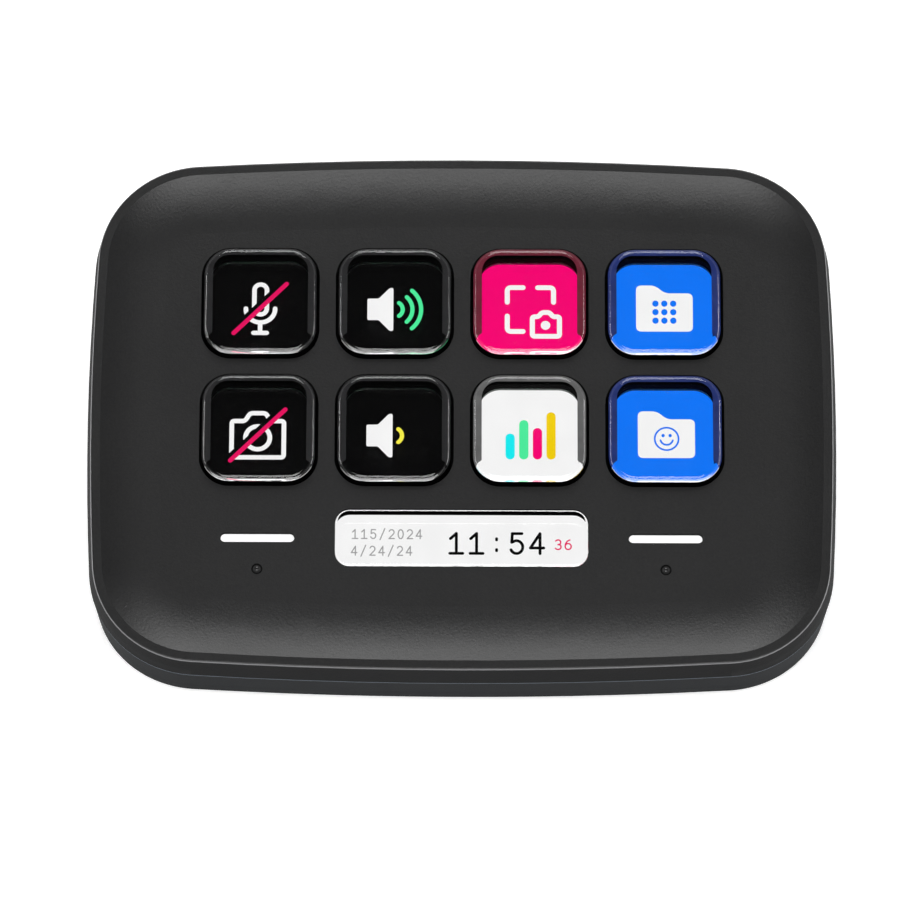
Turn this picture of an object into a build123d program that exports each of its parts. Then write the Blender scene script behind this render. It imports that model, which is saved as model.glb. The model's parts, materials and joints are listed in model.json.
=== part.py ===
from build123d import *
import os
from math import atan2, cos, degrees, radians, sin, tan

# Desk macro keypad: eight clear keys stand over one display, in a dished case that leans
# towards the user. Millimetres and degrees. +Z is up, +X is the user's right, the user sits
# at -Y, and the origin is under the middle of the case, on the table.
#
# Nearly every piece is drawn on a plane parallel to the face. A level is a height along the
# face's normal, counted from the rim and negative inside the case. Across and up are the two
# directions in the face, counted from its centre.

# ----------------------------------------------------------------------------------------
# Driving dimensions
# ----------------------------------------------------------------------------------------

face_tilt = 10.0  # how far the face leans towards the user

# Keys
key_columns = 4
key_rows = 2
key_pitch = 19.3
cap_size = 16.2
cap_radius = 4.0
cap_edge = 0.9  # rounding of the cap's upper edge
cap_thickness = 3.7
cap_stand = 1.4  # height of a cap above the dish floor
cap_clearance = 0.4  # between a cap and the sides of its aperture
key_travel = 0.9

# Carrier: the dark frame that a cap is glued into
carrier_glue = 0.05  # gap all round the cap
carrier_wall = 0.95
ledge_width = 1.1  # how far the carrier reaches in under the cap
ledge_thickness = 0.5

# Dome: the silicone ring that lifts a carrier
dome_inset = 0.4  # the dome's side, in from the carrier's
dome_wall = 1.2
dome_rest = 0.3  # height left when the key is pressed home

# Display window, light bars and touch points below the keys
info_width = 35.9
info_depth = 8.45
info_radius = 2.1
info_edge = 0.35
info_sink = 0.05  # the window's top lies this far below the dish floor
info_spacing = 1.65  # from the lower carriers to the window's flange
flange_width = 1.2
flange_thickness = 0.8
trim_clearance = 0.08  # round the info window and the light bars
bar_length = 10.45
bar_width = 1.3
bar_stand = 0.05
bar_tail = 0.9  # how far a light bar reaches below its flange
touch_drop = 4.75  # from the light bars to the touch points
touch_radius = 0.8
touch_groove = 0.3
touch_depth = 0.15
pad_width = 8.0
pad_depth = 4.0
pad_radius = 1.0
led_width = 3.2
led_depth = 1.6
led_height = 0.5

# Face moulding
layout_rise = 1.68  # the keys and the window sit this far up from the face's centre
dish_depth = 1.5
dish_slope = 20.0  # slope of the dish at the rim
dish_steps = 5  # outlines that guide the cove between floor and rim, less one
rim_band = 1.35
rim_edge = 0.3
plate_thickness = 1.8
skirt = 1.0  # from the plate's back down to the parting line
flare = 0.65  # how far the front wall leans out over its height
corner_radius = 15.0
side_bow = 0.64  # the sides bulge this far past the corner circles
end_bow = 1.1
core_depth = 1.0  # channel that keeps the thick rim from sinking in moulding
core_inset = 2.6
core_width = 3.0

# Rear moulding
rear_taper = 3.0
wall = 1.8
front_wall = 1.2  # wall of the face moulding at the parting line
floor = 2.2
base_edge = 0.6
parting_bevel = 0.2  # on the rear moulding's upper edge
lip_thickness = 0.8
lip_height = 0.8
lip_clearance = 0.1

# Key board
board_side = 1.45  # board outside the carriers, at each side
board_end = 7.8  # board above the keys and below the window
board_thickness = 0.6
board_radius = 2.0
window_border = 0.3  # round the visible picture
board_boss_radius = 2.0
board_hole_inset = 2.0
board_hole_spread = 26.0
board_screw_radius = 0.7
board_screw_grip = 2.3
board_head_radius = 1.5
board_head_height = 1.0

# Display module
tape_thickness = 0.2
active_margin = 0.8  # picture area outside the windows
glass_border = 1.6
glass_sheet = 0.6
driver_ledge = 2.4
backlight_thickness = 1.3
tray_sheet = 0.3
tray_gap = 0.1
flex_width = 24.0
flex_thickness = 0.15
flex_bond = 1.6  # how far the flex reaches in under the driver ledge
flex_overhang = 1.2  # least straight run between the glass and the fold
flex_lead = 3.0  # least straight run between the fold and its connector

# Main board
board_space = 1.3  # between the display tray and the main board
main_width = 74.0
main_depth = 58.0
main_thickness = 1.2
main_radius = 2.5
main_hole_inset = 3.5
main_boss_radius = 2.4
main_screw_radius = 0.9
main_screw_grip = 2.2
main_head_radius = 1.8
main_head_height = 1.0
main_floor_gap = 1.43  # between the board's front edge and the case floor
controller_size = 9.0
controller_height = 1.0
memory_width = 8.0
memory_depth = 6.0
memory_height = 0.9
chip_spacing = 7.0
chip_rise = 3.6  # from the board's middle up to the chips
capacitor_width = 1.6
capacitor_depth = 0.9
capacitor_height = 0.8
capacitor_pitch = 4.5
capacitor_count = 6
capacitor_rise = 14.5
connector_depth = 4.0
connector_height = 1.0
connector_border = 1.5
link_width = 12.0
link_depth = 3.0
link_offset = 13.0
link_inset = 2.6

# USB-C socket: outer shell 8.94 by 3.16, opening 8.34 by 2.56, tongue 6.69 by 0.7
usb_width = 8.94
usb_height = 3.16
usb_length = 7.35
usb_sheet = 0.3
usb_radius = 1.25
usb_recess = 0.3  # the mouth lies this far inside the case
usb_nose = 2.6  # how far the mouth reaches past the main board
usb_clearance = 0.17
usb_block = 1.6
tongue_width = 6.69
tongue_thickness = 0.7
tongue_setback = 0.9

# Ballast plate
ballast_depth = 34.0
ballast_thickness = 2.5
ballast_clearance = 1.5  # under the main board, at the plate's front edge
ballast_side_gap = 0.6
ballast_hole_inset = 5.0
stake_radius = 1.5
stake_head_radius = 2.4
stake_head_height = 0.8
stake_clearance = 0.1

# Case screws, from below into brass inserts
post_gap = 0.5
post_radius = 3.0
post_inset = 3.7
post_drop = 2.3  # the bosses of the face moulding reach this far below the parting line
rim_side = 9.85  # from the screws out to the rim
rim_end = 6.42  # from the key board out to the rim
insert_radius = 1.8
insert_length = 3.0
fit_clearance = 0.02  # between pieces that are pressed or moulded together
case_screw_radius = 1.2
case_screw_clearance = 0.05
case_screw_seat = 3.4  # thickness of post over the screw's head
case_screw_grip = 2.4  # how far the screw reaches into its insert
case_head_radius = 2.2
case_head_height = 1.6
case_bore_clearance = 0.2
drive_ratio = 0.45  # hex recess across its corners, against the screw's head
drive_sink = 0.6  # depth of the recess, against the head's height
cut_reach = 6.0  # a cut this long each way passes through any wall

# Feet
foot_stand = 1.0
foot_recess = 0.8
foot_length = 76.0
foot_width = 6.0
foot_inset = 7.6
foot_edge = 0.3
foot_clearance = 0.05

# ----------------------------------------------------------------------------------------
# Levels, from the rim down
# ----------------------------------------------------------------------------------------

dish_floor = -dish_depth
cap_top = dish_floor + cap_stand
cap_bottom = cap_top - cap_thickness
plate_back = dish_floor - plate_thickness
parting = plate_back - skirt
ledge_back = cap_bottom - ledge_thickness
dome_height = key_travel + dome_rest
board_front = ledge_back - dome_height
board_back = board_front - board_thickness
glass_front = board_back - tape_thickness
glass_back = glass_front - 2 * glass_sheet
backlight_back = glass_back - backlight_thickness
tray_back = backlight_back - tray_sheet
main_front = tray_back - board_space
main_back = main_front - main_thickness
usb_level = main_back - usb_height / 2
post_top = parting - post_drop
screw_seat = post_top - case_screw_seat

# ----------------------------------------------------------------------------------------
# Places in the face
# ----------------------------------------------------------------------------------------

carrier_size = cap_size + 2 * (carrier_glue + carrier_wall)
carrier_radius = cap_radius + carrier_glue + carrier_wall
aperture_size = cap_size + 2 * cap_clearance
picture_size = cap_size - 2 * ledge_width
picture_radius = cap_radius - ledge_width
keys_width = (key_columns - 1) * key_pitch + carrier_size
keys_depth = (key_rows - 1) * key_pitch + carrier_size

layout_depth = keys_depth + info_spacing + flange_width + info_depth
top_row = layout_rise + (layout_depth - carrier_size) / 2
info_up = layout_rise - (layout_depth - info_depth) / 2
touch_up = info_up - touch_drop
outer_column = (key_columns - 1) * key_pitch / 2
key_places = [
    (column * key_pitch - outer_column, top_row - row * key_pitch)
    for row in range(key_rows)
    for column in range(key_columns)
]

board_width = keys_width + 2 * board_side
board_depth = layout_depth + 2 * board_end
board_hole_up = board_depth / 2 - board_hole_inset
board_holes = [
    (-board_hole_spread, board_hole_up),
    (0, board_hole_up),
    (board_hole_spread, board_hole_up),
    (-board_hole_spread, -board_hole_up),
    (board_hole_spread, -board_hole_up),
]

picture_top = top_row + picture_size / 2 + active_margin
picture_bottom = info_up - info_depth / 2 - active_margin
active_width = 2 * outer_column + picture_size + 2 * active_margin
active_depth = picture_top - picture_bottom
active_up = (picture_top + picture_bottom) / 2
glass_width = active_width + 2 * glass_border
glass_depth = active_depth + 2 * glass_border
rear_glass_depth = glass_depth + driver_ledge
rear_glass_up = active_up - driver_ledge / 2
tray_width = glass_width + 2 * (tray_gap + tray_sheet)
tray_depth = rear_glass_depth + 2 * (tray_gap + tray_sheet)

post_across = board_width / 2 + post_gap + post_radius
post_up = board_depth / 2 - post_inset
post_places = [(x, y) for x in (-post_across, post_across) for y in (-post_up, post_up)]
rim_width = 2 * (post_across + rim_side)
rim_depth = board_depth + 2 * rim_end


def arc_radius(bow, reach):
    """The radius of a rim arc from its bow past the corner circles and the corners' reach."""
    return ((corner_radius + bow) ** 2 + reach**2 - corner_radius**2) / (2 * bow)


corner_across = rim_width / 2 - corner_radius - side_bow
corner_up = rim_depth / 2 - corner_radius - end_bow
side_radius = arc_radius(side_bow, corner_up)
end_radius = arc_radius(end_bow, corner_across)
side_angle = degrees(atan2(corner_up, corner_across - rim_width / 2 + side_radius))
end_angle = degrees(atan2(corner_up - rim_depth / 2 + end_radius, corner_across))


def wall_up(height):
    """How far up the rear wall's outer face lies at one level below the parting line."""
    return rim_depth / 2 + flare - (parting - height) * tan(radians(rear_taper))


usb_mouth = wall_up(usb_level) - usb_recess
main_rear = usb_mouth - usb_nose
main_up = main_rear - main_depth / 2
main_hole_across = main_width / 2 - main_hole_inset
main_holes = [
    (x, main_up + y)
    for x in (-main_hole_across, main_hole_across)
    for y in (main_depth / 2 - main_hole_inset, main_hole_inset - main_depth / 2)
]
chips_up = main_up + chip_rise
capacitors_up = main_up + capacitor_rise
connector_up = main_rear - main_depth + connector_depth / 2
link_up = board_depth / 2 - link_inset

# ----------------------------------------------------------------------------------------
# The face's place over the table
# ----------------------------------------------------------------------------------------

rise = sin(radians(face_tilt))
run = cos(radians(face_tilt))
floor_top = foot_stand + floor

# The main board's front edge is the lowest thing inside, and sets the height of the face.
centre_z = floor_top + main_floor_gap - (main_rear - main_depth) * rise - main_back * run


def base_reach(side):
    """How far the case's lower edge lies from the face's centre along Y.

    The wall starts at the parting line and leans in by the taper. side is 1 for the rear
    wall and -1 for the front one.
    """
    start = side * (rim_depth / 2 + flare)
    lean = sin(radians(rear_taper))
    drop = cos(radians(rear_taper))
    length = (centre_z + start * rise + parting * run - foot_stand) / (drop * run + side * lean * rise)
    return (start - side * length * lean) * run - (parting - length * drop) * rise


# The front of the rim and the rear of the base are the ends of the object along Y.
centre_y = (rim_depth / 2 * run - base_reach(1)) / 2
base_front = centre_y + base_reach(-1)
base_rear = centre_y + base_reach(1)
shell_reach = (rim_depth * rise + centre_z) / run

up_slope = Vector(0, run, rise)
face_normal = Vector(0, -rise, run)
face = Plane(origin=(0, centre_y, centre_z), x_dir=(1, 0, 0), z_dir=face_normal)
side_view = Plane(origin=face.origin, x_dir=up_slope, z_dir=(1, 0, 0))
depth_axis = Axis(face.origin, face_normal)


def on_face(across, up, height):
    """A plane parallel to the face, with its origin at one place and level."""
    spot = face.from_local_coords(Vector(across, up, height))
    return Plane(origin=spot, x_dir=(1, 0, 0), z_dir=face_normal)


def level(height):
    """The plane parallel to the face at one level."""
    return on_face(0, 0, height)


def y_of(up, height):
    """The Y of a point in the case's middle plane, from its place up the face and its level."""
    return centre_y + up * run - height * rise


# ----------------------------------------------------------------------------------------
# Shared shapes
# ----------------------------------------------------------------------------------------


def case_plan(grow):
    """The rim's outline, grown outwards by one margin.

    Two shallow side arcs and two shallow end arcs run tangent into four round corners. Growing
    changes the radii and keeps the centres.
    """
    with BuildSketch() as plan:
        with BuildLine():
            for sign, turn in ((1, 0), (-1, 180)):
                side = (sign * (rim_width / 2 - side_radius), 0)
                end = (0, sign * (rim_depth / 2 - end_radius))
                near_corner = (sign * corner_across, sign * corner_up)
                far_corner = (-sign * corner_across, sign * corner_up)
                span = end_angle - side_angle
                CenterArc(side, side_radius + grow, turn - side_angle, 2 * side_angle)
                CenterArc(near_corner, corner_radius + grow, turn + side_angle, span)
                CenterArc(end, end_radius + grow, turn + end_angle, 180 - 2 * end_angle)
                CenterArc(far_corner, corner_radius + grow, turn + 180 - end_angle, span)
        make_face()
    return plan.sketch


def between_plans(grow_low, low, grow_high, high):
    """The solid between two outlines of the case at two levels."""
    with BuildPart() as solid:
        with BuildSketch(level(low)):
            add(case_plan(grow_low))
        with BuildSketch(level(high)):
            add(case_plan(grow_high))
        loft(ruled=True)
    return solid.part


def tapered_case(inset, bottom):
    """The rear moulding's outer form, moved inwards by one inset and cut off at one height."""
    lean = shell_reach * tan(radians(rear_taper))
    with BuildPart() as form:
        add(between_plans(flare - inset - lean, parting - shell_reach, flare - inset, parting))
        split(bisect_by=Plane.XY.offset(bottom), keep=Keep.TOP)
    return form.part


def edges_at(piece, height):
    """The edges of a piece that lie flat at one level."""
    near = 1e-4
    return piece.edges().filter_by_position(depth_axis, height - near, height + near)


def screw_group(places, seat, side, shank_radius, shank_length, head_radius, head_height):
    """Equal screws on one seat. side is 1 where the shanks point up the face's normal, or -1."""
    with BuildPart() as screws:
        with BuildSketch(level(seat)):
            with Locations(*places):
                Circle(head_radius)
        extrude(amount=-side * head_height)
        with BuildSketch(level(seat - side * head_height)):
            with Locations(*places):
                RegularPolygon(drive_ratio * head_radius, 6)
        extrude(amount=side * drive_sink * head_height, mode=Mode.SUBTRACT)
        with BuildSketch(level(seat)):
            with Locations(*places):
                Circle(shank_radius)
        extrude(amount=side * shank_length)
    return screws


def save(piece, name):
    """Labels a finished piece and writes its STEP file."""
    piece.part.label = name
    export_step(piece.part, f"parts/{name}.step")


os.makedirs("parts", exist_ok=True)

# ----------------------------------------------------------------------------------------
# Front shell: the dished face, its key apertures, screw bosses and inner channel
# ----------------------------------------------------------------------------------------

# The dish's border is a cove: an arc that leaves the flat floor level and meets the rim's band
# at the dish's slope.
cove_radius = dish_depth / (1 - cos(radians(dish_slope)))
cove_width = cove_radius * sin(radians(dish_slope))

with BuildPart() as dish:
    for step in range(dish_steps + 1):
        angle = radians(dish_slope * step / dish_steps)
        climb = cove_radius * (1 - cos(angle))
        with BuildSketch(level(dish_floor + climb)):
            add(case_plan(cove_radius * sin(angle) - cove_width - rim_band))
    loft()

with BuildPart() as front_shell:
    add(between_plans(flare, parting, 0, 0))
    fillet(edges_at(front_shell, 0), rim_edge)
    add(dish.part, mode=Mode.SUBTRACT)

    # Hollow underneath: a shallow pocket to the plate's back and a deeper channel at the rim.
    with BuildSketch(level(parting)):
        add(case_plan(flare - front_wall))
    extrude(amount=skirt, mode=Mode.SUBTRACT)
    with BuildSketch(level(plate_back)):
        add(case_plan(-core_inset))
        add(case_plan(-core_inset - core_width), mode=Mode.SUBTRACT)
    extrude(amount=core_depth, mode=Mode.SUBTRACT)

    # Bosses for the case screws and the key board.
    boss_root = plate_back + core_depth
    with BuildSketch(level(post_top)):
        with Locations(*post_places):
            Circle(post_radius)
    extrude(amount=boss_root - post_top)
    with BuildSketch(level(board_front)):
        with Locations(*board_holes):
            Circle(board_boss_radius)
    extrude(amount=plate_back - board_front)
    with BuildSketch(level(post_top)):
        with Locations(*post_places):
            Circle(insert_radius)
    extrude(amount=insert_length, mode=Mode.SUBTRACT)
    with BuildSketch(level(board_front)):
        with Locations(*board_holes):
            Circle(board_screw_radius + fit_clearance)
    extrude(amount=board_screw_grip + fit_clearance, mode=Mode.SUBTRACT)

    # Apertures through the plate.
    with BuildSketch(level(dish_floor)):
        with Locations(*key_places):
            RectangleRounded(aperture_size, aperture_size, cap_radius + cap_clearance)
        with Locations((0, info_up)):
            RectangleRounded(
                info_width + 2 * trim_clearance,
                info_depth + 2 * trim_clearance,
                info_radius + trim_clearance,
            )
        with Locations((-outer_column, info_up), (outer_column, info_up)):
            SlotOverall(bar_length + 2 * trim_clearance, bar_width + 2 * trim_clearance)
    extrude(amount=-plate_thickness, mode=Mode.SUBTRACT)

    # Touch points: a small ring groove over each foam pad.
    with BuildSketch(level(dish_floor)):
        with Locations((-outer_column, touch_up), (outer_column, touch_up)):
            Circle(touch_radius)
            Circle(touch_radius - touch_groove, mode=Mode.SUBTRACT)
    extrude(amount=-touch_depth, mode=Mode.SUBTRACT)
save(front_shell, "front_shell")

# ----------------------------------------------------------------------------------------
# Rear shell: tapered tray with a lip, screw posts, board bosses, stakes and the socket's port
# ----------------------------------------------------------------------------------------

ballast_width = 2 * (main_hole_across - main_boss_radius - ballast_side_gap)
ballast_top = floor_top + ballast_thickness
ballast_front_up = (ballast_top + ballast_clearance - centre_z - main_back * run) / rise
ballast_y = y_of(ballast_front_up, main_back) + ballast_depth / 2
stake_places = [
    (x, ballast_y + y)
    for x in (ballast_hole_inset - ballast_width / 2, ballast_width / 2 - ballast_hole_inset)
    for y in (ballast_hole_inset - ballast_depth / 2, ballast_depth / 2 - ballast_hole_inset)
]
foot_places = {
    "front_foot": base_front + foot_inset,
    "rear_foot": base_rear - foot_inset,
}
usb_face = on_face(0, usb_mouth, usb_level).origin
port_plane = Plane(origin=usb_face, x_dir=(1, 0, 0), z_dir=up_slope)

with BuildPart() as posts:
    with BuildSketch(level(post_top)):
        with Locations(*post_places):
            Circle(post_radius)
    extrude(amount=-shell_reach)
    with BuildSketch(level(main_back)):
        with Locations(*main_holes):
            Circle(main_boss_radius)
    extrude(amount=-shell_reach)
    add(tapered_case(wall / 2, foot_stand + floor / 2), mode=Mode.INTERSECT)

with BuildPart() as rear_shell:
    add(tapered_case(0, foot_stand))
    fillet(rear_shell.faces().sort_by(Axis.Z)[0].edges(), base_edge)
    chamfer(edges_at(rear_shell, parting), parting_bevel)
    add(tapered_case(wall, floor_top), mode=Mode.SUBTRACT)
    add(posts.part)

    # Lip that locates the face moulding.
    lip_out = flare - front_wall - lip_clearance
    with BuildSketch(level(parting - lip_height)):
        add(case_plan(lip_out))
        add(case_plan(lip_out - lip_thickness), mode=Mode.SUBTRACT)
    extrude(amount=2 * lip_height)

    # Screw holes, wide below the seat and narrow above it.
    with BuildSketch(level(post_top)):
        with Locations(*post_places):
            Circle(case_screw_radius + case_bore_clearance)
    extrude(amount=screw_seat - post_top, mode=Mode.SUBTRACT)
    with BuildSketch(level(screw_seat)):
        with Locations(*post_places):
            Circle(case_head_radius + 2 * case_bore_clearance)
    extrude(amount=-shell_reach, mode=Mode.SUBTRACT)
    with BuildSketch(level(main_back)):
        with Locations(*main_holes):
            Circle(main_screw_radius + fit_clearance)
    extrude(amount=-main_screw_grip - fit_clearance, mode=Mode.SUBTRACT)

    # Stakes that hold the ballast plate, with their formed heads.
    with BuildSketch(Plane.XY.offset(floor_top)):
        with Locations(*stake_places):
            Circle(stake_radius)
    extrude(amount=ballast_thickness)
    with BuildSketch(Plane.XY.offset(ballast_top)):
        with Locations(*stake_places):
            Circle(stake_head_radius)
    extrude(amount=stake_head_height)

    # Port for the socket, and the seats of the two feet.
    with BuildSketch(port_plane):
        RectangleRounded(
            usb_width + 2 * usb_clearance,
            usb_height + 2 * usb_clearance,
            usb_radius + usb_clearance,
        )
    extrude(amount=cut_reach, both=True, mode=Mode.SUBTRACT)
    with BuildSketch(Plane.XY.offset(foot_stand)):
        with Locations(*[(0, y) for y in foot_places.values()]):
            SlotOverall(foot_length + 2 * foot_clearance, foot_width + 2 * foot_clearance)
    extrude(amount=foot_recess, mode=Mode.SUBTRACT)
save(rear_shell, "rear_shell")

# ----------------------------------------------------------------------------------------
# Keys: eight caps, each glued into its carrier over its ring dome
# ----------------------------------------------------------------------------------------

dome_size = carrier_size - 2 * dome_inset
dome_radius = carrier_radius - dome_inset

for number, (across, up) in enumerate(key_places, start=1):
    with BuildPart() as key_cap:
        with BuildSketch(on_face(across, up, cap_bottom)):
            RectangleRounded(cap_size, cap_size, cap_radius)
        extrude(amount=cap_thickness)
        fillet(edges_at(key_cap, cap_top), cap_edge)
    save(key_cap, f"key_cap_{number}")

    with BuildPart() as key_carrier:
        with BuildSketch(on_face(across, up, ledge_back)):
            RectangleRounded(carrier_size, carrier_size, carrier_radius)
            RectangleRounded(picture_size, picture_size, picture_radius, mode=Mode.SUBTRACT)
        extrude(amount=plate_back - ledge_back)
        with BuildSketch(on_face(across, up, cap_bottom)):
            RectangleRounded(
                cap_size + 2 * carrier_glue, cap_size + 2 * carrier_glue, cap_radius + carrier_glue
            )
        extrude(amount=cap_thickness, mode=Mode.SUBTRACT)
    save(key_carrier, f"key_carrier_{number}")

    with BuildPart() as key_dome:
        with BuildSketch(on_face(across, up, board_front)):
            RectangleRounded(dome_size, dome_size, dome_radius)
            RectangleRounded(
                dome_size - 2 * dome_wall,
                dome_size - 2 * dome_wall,
                dome_radius - dome_wall,
                mode=Mode.SUBTRACT,
            )
        extrude(amount=dome_height)
    save(key_dome, f"key_dome_{number}")

# ----------------------------------------------------------------------------------------
# Info window, light bars and touch pads, held between the face and the key board
# ----------------------------------------------------------------------------------------

info_top = dish_floor - info_sink

with BuildPart() as info_window:
    with BuildSketch(on_face(0, info_up, board_back)):
        RectangleRounded(info_width, info_depth, info_radius)
    extrude(amount=info_top - board_back)
    fillet(edges_at(info_window, info_top), info_edge)
    with BuildSketch(on_face(0, info_up, plate_back)):
        RectangleRounded(
            info_width + 2 * flange_width, info_depth + 2 * flange_width, info_radius + flange_width
        )
    extrude(amount=-flange_thickness)
save(info_window, "info_window")

for name, across in (("left", -outer_column), ("right", outer_column)):
    with BuildPart() as light_bar:
        with BuildSketch(on_face(across, info_up, plate_back)):
            SlotOverall(bar_length, bar_width)
        extrude(amount=dish_floor + bar_stand - plate_back)
        with BuildSketch(on_face(across, info_up, plate_back)):
            SlotOverall(bar_length + flange_width, bar_width + flange_width)
        extrude(amount=-flange_thickness)
        with BuildSketch(on_face(across, info_up, plate_back - flange_thickness)):
            SlotOverall(bar_length, bar_width)
        extrude(amount=-bar_tail)
    save(light_bar, f"{name}_light_bar")

    with BuildPart() as touch_pad:
        with BuildSketch(on_face(across, touch_up, board_front)):
            RectangleRounded(pad_width, pad_depth, pad_radius)
        extrude(amount=plate_back - board_front)
    save(touch_pad, f"{name}_touch_pad")

# ----------------------------------------------------------------------------------------
# Key board: windows for the picture, screws into the face, two lamps under the bars
# ----------------------------------------------------------------------------------------

window_size = picture_size + 2 * window_border

with BuildPart() as key_board:
    with BuildSketch(level(board_back)):
        RectangleRounded(board_width, board_depth, board_radius)
        with Locations(*key_places):
            RectangleRounded(
                window_size, window_size, picture_radius + window_border, mode=Mode.SUBTRACT
            )
        with Locations((0, info_up)):
            RectangleRounded(
                info_width + 2 * window_border,
                info_depth + 2 * window_border,
                info_radius + window_border,
                mode=Mode.SUBTRACT,
            )
        with Locations(*board_holes):
            Circle(board_screw_radius + 2 * case_screw_clearance, mode=Mode.SUBTRACT)
    extrude(amount=board_thickness)
save(key_board, "key_board")

key_board_screws = screw_group(
    board_holes,
    board_back,
    1,
    board_screw_radius,
    board_thickness + board_screw_grip,
    board_head_radius,
    board_head_height,
)
save(key_board_screws, "key_board_screws")

with BuildPart() as status_leds:
    with BuildSketch(level(board_front)):
        with Locations((-outer_column, info_up), (outer_column, info_up)):
            Rectangle(led_width, led_depth)
    extrude(amount=led_height)
save(status_leds, "status_leds")

# ----------------------------------------------------------------------------------------
# Display: tape, glass, backlight, steel tray and the folded flex
# ----------------------------------------------------------------------------------------

with BuildPart() as display_tape:
    with BuildSketch(on_face(0, active_up, glass_front)):
        Rectangle(glass_width, glass_depth)
        Rectangle(active_width, active_depth, mode=Mode.SUBTRACT)
    extrude(amount=tape_thickness)
save(display_tape, "display_tape")

with BuildPart() as display_cell:
    with BuildSketch(on_face(0, active_up, glass_front)):
        Rectangle(glass_width, glass_depth)
    extrude(amount=-glass_sheet)
    with BuildSketch(on_face(0, rear_glass_up, glass_front - glass_sheet)):
        Rectangle(glass_width, rear_glass_depth)
    extrude(amount=-glass_sheet)
save(display_cell, "display_cell")

with BuildPart() as display_backlight:
    with BuildSketch(on_face(0, active_up, glass_back)):
        Rectangle(glass_width, glass_depth)
    extrude(amount=-backlight_thickness)
save(display_backlight, "display_backlight")

with BuildPart() as display_tray:
    with BuildSketch(on_face(0, rear_glass_up, backlight_back)):
        RectangleRounded(tray_width, tray_depth, tray_gap + tray_sheet)
    extrude(amount=-tray_sheet)
    with BuildSketch(on_face(0, rear_glass_up, backlight_back)):
        RectangleRounded(tray_width, tray_depth, tray_gap + tray_sheet)
        Rectangle(tray_width - 2 * tray_sheet, tray_depth - 2 * tray_sheet, mode=Mode.SUBTRACT)
    extrude(amount=glass_front - glass_sheet - backlight_back)
    # The flex leaves through a gap in the front wall.
    with BuildSketch(on_face(0, rear_glass_up - tray_depth / 2, backlight_back)):
        Rectangle(flex_width + 2 * tray_gap, 2 * (tray_gap + tray_sheet))
    extrude(amount=glass_front - backlight_back, mode=Mode.SUBTRACT)
save(display_tray, "display_tray")

# The fold clears both the glass above and the connector below.
glass_edge = rear_glass_up - rear_glass_depth / 2
flex_start = glass_edge + flex_bond
flex_end = connector_up - connector_depth / 2
flex_fold = min(glass_edge - flex_overhang, flex_end - flex_lead)
flex_upper = glass_back - flex_thickness / 2
flex_lower = main_front + connector_height / 2
fold_radius = (flex_upper - flex_lower) / 2

with BuildPart() as display_flex:
    with BuildSketch(side_view):
        with Locations(((flex_start + flex_fold) / 2, flex_upper)):
            Rectangle(flex_start - flex_fold, flex_thickness)
        with Locations(((flex_end + flex_fold) / 2, flex_lower)):
            Rectangle(flex_end - flex_fold, flex_thickness)
        with Locations((flex_fold, (flex_upper + flex_lower) / 2)):
            Circle(fold_radius + flex_thickness / 2)
            Circle(fold_radius - flex_thickness / 2, mode=Mode.SUBTRACT)
        # Only the outer half of the ring belongs to the fold.
        with Locations((flex_fold + fold_radius, (flex_upper + flex_lower) / 2)):
            Rectangle(2 * fold_radius, 2 * fold_radius - flex_thickness, mode=Mode.SUBTRACT)
    extrude(amount=flex_width / 2, both=True)
save(display_flex, "display_flex")

# ----------------------------------------------------------------------------------------
# Main board with its parts, and the link up to the key board
# ----------------------------------------------------------------------------------------

with BuildPart() as main_board:
    with BuildSketch(on_face(0, 0, main_back)):
        with Locations((0, main_up)):
            RectangleRounded(main_width, main_depth, main_radius)
        with Locations(*main_holes):
            Circle(main_screw_radius + 2 * case_screw_clearance, mode=Mode.SUBTRACT)
    extrude(amount=main_thickness)
save(main_board, "main_board")

main_board_screws = screw_group(
    main_holes,
    main_front,
    -1,
    main_screw_radius,
    main_thickness + main_screw_grip,
    main_head_radius,
    main_head_height,
)
save(main_board_screws, "main_board_screws")

with BuildPart() as controller_chip:
    with BuildSketch(on_face(-chip_spacing, chips_up, main_back)):
        Rectangle(controller_size, controller_size)
    extrude(amount=-controller_height)
save(controller_chip, "controller_chip")

with BuildPart() as memory_chip:
    with BuildSketch(on_face(chip_spacing, chips_up, main_back)):
        Rectangle(memory_width, memory_depth)
    extrude(amount=-memory_height)
save(memory_chip, "memory_chip")

with BuildPart() as board_capacitors:
    with BuildSketch(on_face(0, capacitors_up, main_back)):
        with GridLocations(capacitor_pitch, capacitor_pitch, capacitor_count, 1):
            Rectangle(capacitor_width, capacitor_depth)
    extrude(amount=-capacitor_height)
save(board_capacitors, "board_capacitors")

with BuildPart() as flex_connector:
    with BuildSketch(on_face(0, connector_up, main_front)):
        Rectangle(flex_width + 2 * connector_border, connector_depth)
    extrude(amount=connector_height)
save(flex_connector, "flex_connector")

link_height = (board_back - main_front) / 2

for name, foot_level in (("link_socket", main_front), ("link_plug", main_front + link_height)):
    with BuildPart() as link:
        with BuildSketch(on_face(link_offset, link_up, foot_level)):
            Rectangle(link_width, link_depth)
        extrude(amount=link_height)
    save(link, name)

# ----------------------------------------------------------------------------------------
# USB-C socket: a drawn steel shell round a moulded tongue
# ----------------------------------------------------------------------------------------

with BuildPart() as usb_socket_shell:
    with BuildSketch(port_plane):
        RectangleRounded(usb_width, usb_height, usb_radius)
    extrude(amount=-usb_length)
    with BuildSketch(port_plane):
        RectangleRounded(
            usb_width - 2 * usb_sheet, usb_height - 2 * usb_sheet, usb_radius - usb_sheet
        )
    extrude(amount=usb_sheet - usb_length, mode=Mode.SUBTRACT)
save(usb_socket_shell, "usb_socket_shell")

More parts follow.
